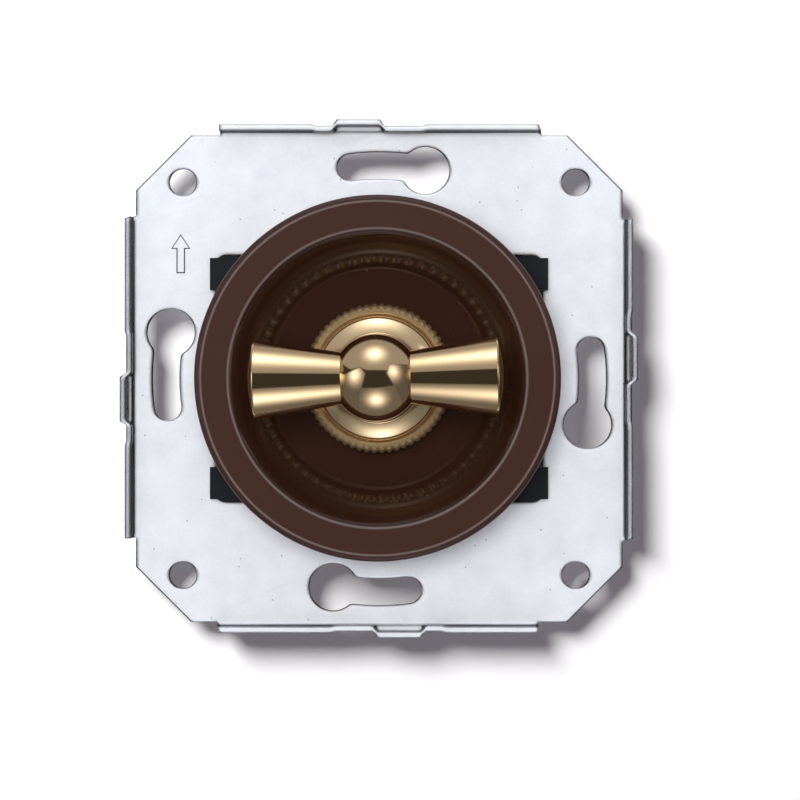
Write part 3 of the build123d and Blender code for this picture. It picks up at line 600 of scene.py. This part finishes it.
def finish_material(name, dark, light, metallic, rough, grain=(3000.0, 120.0, 0.4, 0.6), bump=0.02,
                    scratch=(60.0, 0.004), dust=None, dust_tint=(0.75, 0.72, 0.68), shine=0.5,
                    edge=None, satin_rim_and_light=None, finish_and_highlight_rings=(), ring_finish_and_highlight=PAINTED_RING_HIGHLIGHT):
    """A procedural finish that varies between two colours and two roughness values."""
    material = bpy.data.materials.new(name)
    material.use_nodes = True
    tree = material.node_tree
    shader = tree.nodes["Principled BSDF"]
    shader.inputs["Metallic"].default_value = metallic
    shader.inputs["Specular IOR Level"].default_value = shine
    texture = place_group(tree, surface_grain, Grain_Scale=grain[0], Cloud_Scale=grain[1],
                          Grain_Amount=grain[2], Cloud_Amount=grain[3])
    marks = place_group(tree, fine_scratches, Scale=scratch[0], Width=scratch[1])
    tint = add_node(tree, "ShaderNodeMix", data_type="RGBA")
    tint.inputs["A"].default_value = (*dark, 1)
    tint.inputs["B"].default_value = (*light, 1)
    join(tree, texture.outputs["Factor"], tint.inputs["Factor"])
    colour = tint.outputs["Result"]
    roughness = add_node(tree, "ShaderNodeMapRange")
    roughness.inputs["To Min"].default_value = rough[0]
    roughness.inputs["To Max"].default_value = rough[1]
    join(tree, texture.outputs["Factor"], roughness.inputs["Value"])
    worn = add_node(tree, "ShaderNodeMath", operation="MULTIPLY_ADD", use_clamp=True)
    worn.inputs[1].default_value = SCRATCH_ROUGHENS
    join(tree, marks.outputs["Mask"], worn.inputs[0])
    join(tree, roughness.outputs["Result"], worn.inputs[2])
    if dust:
        specks = place_group(tree, dust_specks, Scale=dust[0], Size=dust[1], Cover=dust[2])
        dusty = add_node(tree, "ShaderNodeMix", data_type="RGBA")
        dusty.inputs["B"].default_value = (*dust_tint, 1)
        join(tree, specks.outputs["Mask"], dusty.inputs["Factor"])
        join(tree, colour, dusty.inputs["A"])
        colour = dusty.outputs["Result"]
    join(tree, colour, shader.inputs["Base Color"])
    join(tree, worn.outputs[0], shader.inputs["Roughness"])
    relief = add_node(tree, "ShaderNodeBump", Strength=bump, Distance=RELIEF_HEIGHT)
    join(tree, texture.outputs["Height"], relief.inputs["Height"])
    join(tree, relief.outputs["Normal"], shader.inputs["Normal"])
    state = {"Base Color": colour, "Roughness": worn.outputs[0], "Metallic": metallic}
    # edge paints shade: its dark colour goes on edges and bends that turn sideways, away from the light.
    if edge:
        rolled = place_group(tree, rolled_edge_and_shade, Depth=EDGE_SHADE_DEPTH)
        join(tree, rolled.outputs["Normal"], relief.inputs["Normal"])
        overlay(tree, shader, state, rolled.outputs["Mask"], edge)
    # Beyond a radius another finish begins. On the cover its lighter colour is partly painted light, and the
    # darker dish within is partly painted shade.
    if satin_rim_and_light:
        disc = place_group(tree, outside_radius, Radius=satin_rim_and_light[0] * MM)
        overlay(tree, shader, state, disc.outputs["Mask"], satin_rim_and_light[1:])
    # Narrow rings about the middle: on the cover they are painted highlights, on the nut a matte finish on
    # the knurl's flat top.
    for inner, outer in finish_and_highlight_rings:
        reach = [place_group(tree, outside_radius, Radius=radius * MM) for radius in (inner, outer)]
        ring = add_node(tree, "ShaderNodeMath", operation="SUBTRACT")
        join(tree, reach[0].outputs["Front"], ring.inputs[0])
        join(tree, reach[1].outputs["Front"], ring.inputs[1])
        overlay(tree, shader, state, ring.outputs[0], ring_finish_and_highlight)
    return material


print("finish recipe ready")

# %% [markdown]
# ## The finishes
#
# Each slot of the CAD record gets its finish: bluish zinc on the plate, near-black brown on
# the cover, lacquered brass on the nut and handle, and plainer ones inside.

# %% Finishes by slot
finishes = {
    # The plate's edge colour is painted shade on its sideways edges and bends.
    "plate_steel": finish_material(
        "zinc_plated_steel", dark=(0.70, 0.72, 0.75), light=(0.93, 0.94, 0.96), metallic=0.55,
        rough=(0.38, 0.55), grain=(2600.0, 260.0, 0.5, 0.9), bump=0.06, scratch=(90.0, 0.003),
        dust=(560.0, 0.06, 0.47), dust_tint=(0.30, 0.30, 0.31), edge=((0.10, 0.105, 0.115), 0.20, 1.0)),
    # The dish inside 20.6 mm is darker partly as painted shade; the lighter satin rim beyond it is partly
    # painted light.
    "brown_plastic": finish_material(
        "glossy_brown_plastic", dark=(0.0150, 0.0053, 0.0027), light=(0.0195, 0.0072, 0.0039), metallic=0.0,
        rough=(0.07, 0.10), grain=(2200.0, 90.0, 0.5, 0.6), bump=0.01, scratch=(50.0, 0.0012),
        dust=(1100.0, 0.045, 0.42), dust_tint=(0.3, 0.25, 0.22), shine=0.34,
        # The rings at 20.4 and 24.2 mm are painted highlights on the cover's inner and outer edges.
        satin_rim_and_light=(20.6, (0.029, 0.0105, 0.0066), 0.33, 0.0), finish_and_highlight_rings=[(20.42, 20.68), (24.2, 24.4)]),
    "polished_brass": finish_material(
        "polished_brass", dark=(0.86, 0.60, 0.31), light=(0.93, 0.66, 0.36), metallic=1.0, rough=(0.07, 0.12),
        grain=(6000.0, 160.0, 0.7, 0.5), bump=0.008, scratch=(140.0, 0.0)),
    "satin_brass": finish_material(
        "satin_brass", dark=(0.84, 0.61, 0.33), light=(0.92, 0.67, 0.38), metallic=0.94, rough=(0.09, 0.14),
        grain=(5000.0, 160.0, 0.7, 0.5), bump=0.02, scratch=(140.0, 0.0), finish_and_highlight_rings=[(8.97, 9.88)],
        ring_finish_and_highlight=((0.40, 0.28, 0.135), 0.30, 0.75)),
    "turned_brass": finish_material(
        "turned_brass", dark=(0.66, 0.48, 0.24), light=(0.80, 0.62, 0.34), metallic=1.0, rough=(0.22, 0.34)),
    "black_plastic": finish_material(
        "black_moulding", dark=(0.004, 0.005, 0.006), light=(0.009, 0.011, 0.013), metallic=0.0,
        rough=(0.30, 0.42), bump=0.05, dust=(900.0, 0.04, 0.36), shine=0.3),
    "white_nylon": finish_material(
        "white_nylon", dark=(0.74, 0.72, 0.66), light=(0.84, 0.82, 0.76), metallic=0.0, rough=(0.38, 0.5)),
    "screw_steel": finish_material(
        "screw_steel", dark=(0.55, 0.56, 0.58), light=(0.75, 0.76, 0.78), metallic=1.0, rough=(0.24, 0.36)),
    "spring_steel": finish_material(
        "spring_steel", dark=(0.30, 0.31, 0.35), light=(0.45, 0.46, 0.50), metallic=1.0, rough=(0.25, 0.38)),
    "contact_silver": finish_material(
        "contact_silver", dark=(0.78, 0.78, 0.76), light=(0.90, 0.90, 0.88), metallic=1.0,
        rough=(0.18, 0.28)),
    "fibre": finish_material(
        "red_fibre", dark=(0.26, 0.07, 0.04), light=(0.40, 0.13, 0.08), metallic=0.0, rough=(0.55, 0.7)),
}
for entry in frame["record"]["subparts"]:
    node = frame["nodes"][entry["node"]]
    node.data.materials.clear()
    node.data.materials.append(finishes[entry["material_slot"]])
print("finishes:", len(finishes), "on", len(frame["nodes"]), "nodes")

# %% [markdown]
# ## Turned pieces
#
# The nut and the handle are polished, so every facet of a CAD mesh would show as a kink in
# a reflection. They are turned again here from the same sizes with many more steps. A real
# lathe breaks each sharp edge, so each corner of a profile gets a small arc as well.


# %% Lathe helpers
SHARP_FROM = math.radians(32)
ON_AXIS = 1e-7


def softened(points, radii, steps=6):
    """The outline of a profile with an arc in each corner that has a radius."""
    outline = []
    for i, (corner, radius) in enumerate(zip(points, radii)):
        if not radius:
            outline.append(tuple(corner))
            continue
        here = Vector(corner)
        back = (Vector(points[i - 1]) - here).normalized()
        on = (Vector(points[(i + 1) % len(points)]) - here).normalized()
        half = back.angle(on) / 2
        reach = radius / math.tan(half)
        start, end = here + back * reach, here + on * reach
        middle = here + (back + on).normalized() * (radius / math.sin(half))
        for k in range(steps + 1):
            chord = start.lerp(end, k / steps) - middle
            outline.append(tuple(middle + chord.normalized() * radius))
    return outline


def turned(name, outline, steps, place, finish, slot_name, closed=False):
    """A smooth turned mesh. place(radius, along, angle) says where a point of the profile goes."""
    mesh = bpy.data.meshes.new(name)
    shape = bmesh.new()
    rings = []
    for radius, along in outline:
        if radius < ON_AXIS:
            rings.append([shape.verts.new(place(0, along, 0))])
        else:
            angles = [2 * math.pi * k / steps for k in range(steps)]
            rings.append([shape.verts.new(place(radius, along, angle)) for angle in angles])
    pairs = list(zip(rings, rings[1:])) + ([(rings[-1], rings[0])] if closed else [])
    for low, high in pairs:
        for k in range(steps):
            n = (k + 1) % steps
            ring = [low[k % len(low)], low[n % len(low)], high[n % len(high)], high[k % len(high)]]
            corners = list(dict.fromkeys(ring))
            if len(corners) > 2:
                shape.faces.new(corners)
    bmesh.ops.recalc_face_normals(shape, faces=shape.faces)
    shape.to_mesh(mesh)
    shape.free()
    mesh.shade_smooth()
    mesh.set_sharp_from_angle(angle=SHARP_FROM)
    piece = bpy.data.objects.new(name, mesh)
    mesh.materials.append(finish)
    bpy.context.scene.collection.objects.link(piece)
    return piece


def about_wall_axis(radius, along, angle):
    """Round the axis that stands out of the wall: along is the height in front of it, in mm."""
    return (radius * MM * math.sin(angle), -along * MM, radius * MM * math.cos(angle))


print("lathe ready")

# %% [markdown]
# ## Brass nut
#
# The nut's rim is knurled: sixty small teeth, cut off at a slant in front, so that two wavy
# lines show. The teeth are made by letting the radius rise and fall with the angle, on the
# rim rows alone.

# %% Knurled nut
FLOOR_H, NUT_TOP_H = 4.6, 6.9
KNURL_RADIUS, KNURL_CHAMFER, KNURL_DEPTH, TEETH = 10.35, 0.6, 0.36, 60
KNURL_FADE_FROM, KNURL_FADE = 9.26, 0.3
SHOULDER, DOME_FOOT, CREST_RADIUS, CREST_H = 8.95, 8.6, 6.2, 8.72
CROWN_LEAN, FLANK_LEAN, FOOT_LEAN = 15, 33, 80
CROWN_STEPS, FLANK_STEPS = 14, 12
CROWN_CURVE, FLANK_CURVE = 6.8, 1.0
CUP_RADIUS, CUP_FLOOR_H, BORE_RADIUS = 5.8, 7.7, 5.05
STEPS_PER_TOOTH = 8


def tooth_dip(angle):
    """How far the rim lies below a tooth's tip at that angle, from 0 to 1."""
    return 1 - abs(math.sin(angle * TEETH / 2))


def nut_place(radius, along, angle):
    """Profile point of the nut, with the knurl on its outer rows."""
    rim = max(0.0, min(1.0, (radius - KNURL_FADE_FROM) / KNURL_FADE))
    return about_wall_axis(radius - KNURL_DEPTH * rim * tooth_dip(angle), along, angle)


def arc_by_lean(start, lean_from, lean_to, curve, steps):
    """A run of the profile that leans more and more outwards and down, as an arc of that radius."""
    radius, along = start
    first = math.radians(lean_from)
    run = []
    for k in range(1, steps + 1):
        lean = math.radians(lean_from + (lean_to - lean_from) * k / steps)
        run.append((radius + curve * (math.sin(lean) - math.sin(first)),
                    along - curve * (math.cos(first) - math.cos(lean))))
    return run


crest = (CREST_RADIUS, CREST_H)
crown = [crest, *arc_by_lean(crest, CROWN_LEAN, FLANK_LEAN, CROWN_CURVE, CROWN_STEPS)]
dome = list(reversed(crown + arc_by_lean(crown[-1], FLANK_LEAN, FOOT_LEAN, FLANK_CURVE, FLANK_STEPS)))
# The small steps in the rows below break each edge, as a file does on a lathe.
rim_rows = [(KNURL_RADIUS - 0.12, FLOOR_H), (KNURL_RADIUS, FLOOR_H + 0.12), (KNURL_RADIUS, 6.32),
            (KNURL_RADIUS - 0.07, 6.43), (KNURL_RADIUS - KNURL_CHAMFER + 0.1, NUT_TOP_H - 0.07),
            (KNURL_RADIUS - KNURL_CHAMFER, NUT_TOP_H)]
groove_rows = [(SHOULDER + 0.06, NUT_TOP_H), (SHOULDER, NUT_TOP_H - 0.05),
               (DOME_FOOT + 0.1, NUT_TOP_H - 0.42), (DOME_FOOT + 0.04, NUT_TOP_H - 0.38)]
cup_rows = [(CUP_RADIUS + 0.25, CREST_H), (CUP_RADIUS + 0.07, CREST_H - 0.07), (CUP_RADIUS, CREST_H - 0.25),
            (CUP_RADIUS, CUP_FLOOR_H), (BORE_RADIUS, CUP_FLOOR_H), (BORE_RADIUS, FLOOR_H)]
nut_outline = [(CUP_RADIUS, FLOOR_H), *rim_rows, *groove_rows, *dome, *cup_rows]
nut = turned("brass_nut", nut_outline, TEETH * STEPS_PER_TOOTH, nut_place, finishes["satin_brass"],
             "polished_brass", closed=True)
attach(nut, "switch_body")
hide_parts("knurled_nut")
print("nut:", len(nut.data.polygons), "faces,", TEETH, "teeth")

# %% [markdown]
# ## Brass handle
#
# The handle is a ball on a collar with two flared arms. The ball and its foot are one
# turned piece about the wall axis. Each arm is turned about the handle's own axis, which
# runs left to right through the ball, and ends in a slightly domed face. The photographed
# handle rests one degree off level, so the arms are drawn with that much slack.

# %% Handle ball and foot
BALL_RADIUS, BALL_H, NECK = 5.9, 16.0, 4.2
FOOT_H, FOOT_RADIUS, FOOT_TOP_H = 7.7, 5.4, 9.15
COLLAR_RADIUS, COLLAR_TOP_H = 6.3, 10.15
BALL_STEPS, BALL_AROUND = 64, 256
sweep = math.pi - math.asin(NECK / BALL_RADIUS)
ball_arc = [(BALL_RADIUS * math.sin(sweep - sweep * k / BALL_STEPS),
             BALL_H + BALL_RADIUS * math.cos(sweep - sweep * k / BALL_STEPS)) for k in range(BALL_STEPS)]
ball_arc.append((0.0, BALL_H + BALL_RADIUS))
collar = softened([(FOOT_RADIUS, FOOT_H), (FOOT_RADIUS, FOOT_TOP_H), (COLLAR_RADIUS, FOOT_TOP_H),
                   (COLLAR_RADIUS, COLLAR_TOP_H), (NECK, COLLAR_TOP_H)], [0, 0.08, 0.12, 0.25, 0.0])
hub = turned("handle_ball", [(0, FOOT_H), *collar, *ball_arc], BALL_AROUND, about_wall_axis,
             finishes["polished_brass"], "polished_brass")
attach(hub, "turning_gear")
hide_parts("handle_hub")
print("handle: ball of", 2 * BALL_RADIUS, "mm")

# %% Handle arms
ARM_START, ARM_START_RADIUS, ARM_END, ARM_END_RADIUS, ARM_DOME = 4.6, 3.56, 16.4, 5.33, 0.9
SLACK = math.radians(1.0)
CAP_STEPS, ARM_AROUND = 24, 192
bulge = (ARM_END_RADIUS ** 2 + ARM_DOME ** 2) / (2 * ARM_DOME)
cap_angle = math.asin(ARM_END_RADIUS / bulge)
cap_centre = ARM_END + ARM_DOME - bulge
cap = [(bulge * math.sin(cap_angle * (1 - k / CAP_STEPS)),
        cap_centre + bulge * math.cos(cap_angle * (1 - k / CAP_STEPS))) for k in range(CAP_STEPS)]
cap.append((0.0, ARM_END + ARM_DOME))
edge = softened([(ARM_START_RADIUS, ARM_START), (ARM_END_RADIUS, ARM_END), cap[2]], [0, 0.3, 0], steps=8)
arm_outline = [(0, ARM_START), (ARM_START_RADIUS, ARM_START), *edge[1:-1], *cap[3:]]
for side, body_side in ((-1, "left"), (1, "right")):
    def arm_place(radius, along, angle, side=side):
        """Round the handle's axis: along is the distance from the ball's middle, in mm."""
        across, up = side * along, radius * math.cos(angle)
        x = across * math.cos(SLACK) - up * math.sin(SLACK)
        z = across * math.sin(SLACK) + up * math.cos(SLACK)
        return (x * MM, (-BALL_H + radius * math.sin(angle)) * MM, z * MM)

    arm = turned("arm_" + body_side, arm_outline, ARM_AROUND, arm_place, finishes["polished_brass"],
                 "polished_brass")
    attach(arm, "turning_gear")
    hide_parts("handle_arm_" + body_side)
print("handle:", 2 * (ARM_END + ARM_DOME), "mm over both arms")

# %% [markdown]
# ## Arrow on the plate
#
# A plain outlined arrow, pressed into the plate's left upper area, says which way is up. It is a
# thin raised line, drawn as a closed ribbon just proud of the zinc.

# %% Up arrow
ARROW_X, ARROW_TOP, ARROW_FOOT = -27.9, 20.2, 14.9
HEAD_HALF, SHAFT_HALF, HEAD_LENGTH = 1.25, 0.52, 1.9
PLATE_FRONT_H, LINE_RADIUS = 0.8, 0.13
HEAD_FOOT = ARROW_TOP - HEAD_LENGTH
arrow_points = [(0, ARROW_TOP), (HEAD_HALF, HEAD_FOOT), (SHAFT_HALF, HEAD_FOOT), (SHAFT_HALF, ARROW_FOOT),
                (-SHAFT_HALF, ARROW_FOOT), (-SHAFT_HALF, HEAD_FOOT), (-HEAD_HALF, HEAD_FOOT)]
path_data = bpy.data.curves.new("up_arrow", "CURVE")
path_data.dimensions = "3D"
line = path_data.splines.new("POLY")
line.points.add(len(arrow_points) - 1)
for point, (x, z) in zip(line.points, arrow_points):
    point.co = ((ARROW_X + x) * MM, -PLATE_FRONT_H * MM, z * MM, 1)
line.use_cyclic_u = True
path_data.bevel_depth = LINE_RADIUS * MM
path_data.bevel_resolution = 3
path_data.materials.append(finish_material("stamped_line", dark=(0.05, 0.055, 0.06), light=(0.12, 0.13, 0.14),
                                           metallic=0.6, rough=(0.4, 0.5)))
arrow = bpy.data.objects.new("up_arrow", path_data)
bpy.context.scene.collection.objects.link(arrow)
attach(arrow, "switch_body")
print("arrow from", ARROW_FOOT, "to", ARROW_TOP, "mm above the middle")

# %% [markdown]
# ## Last cell
#
# This cell only loads the json module once more.

# %% json module
import json
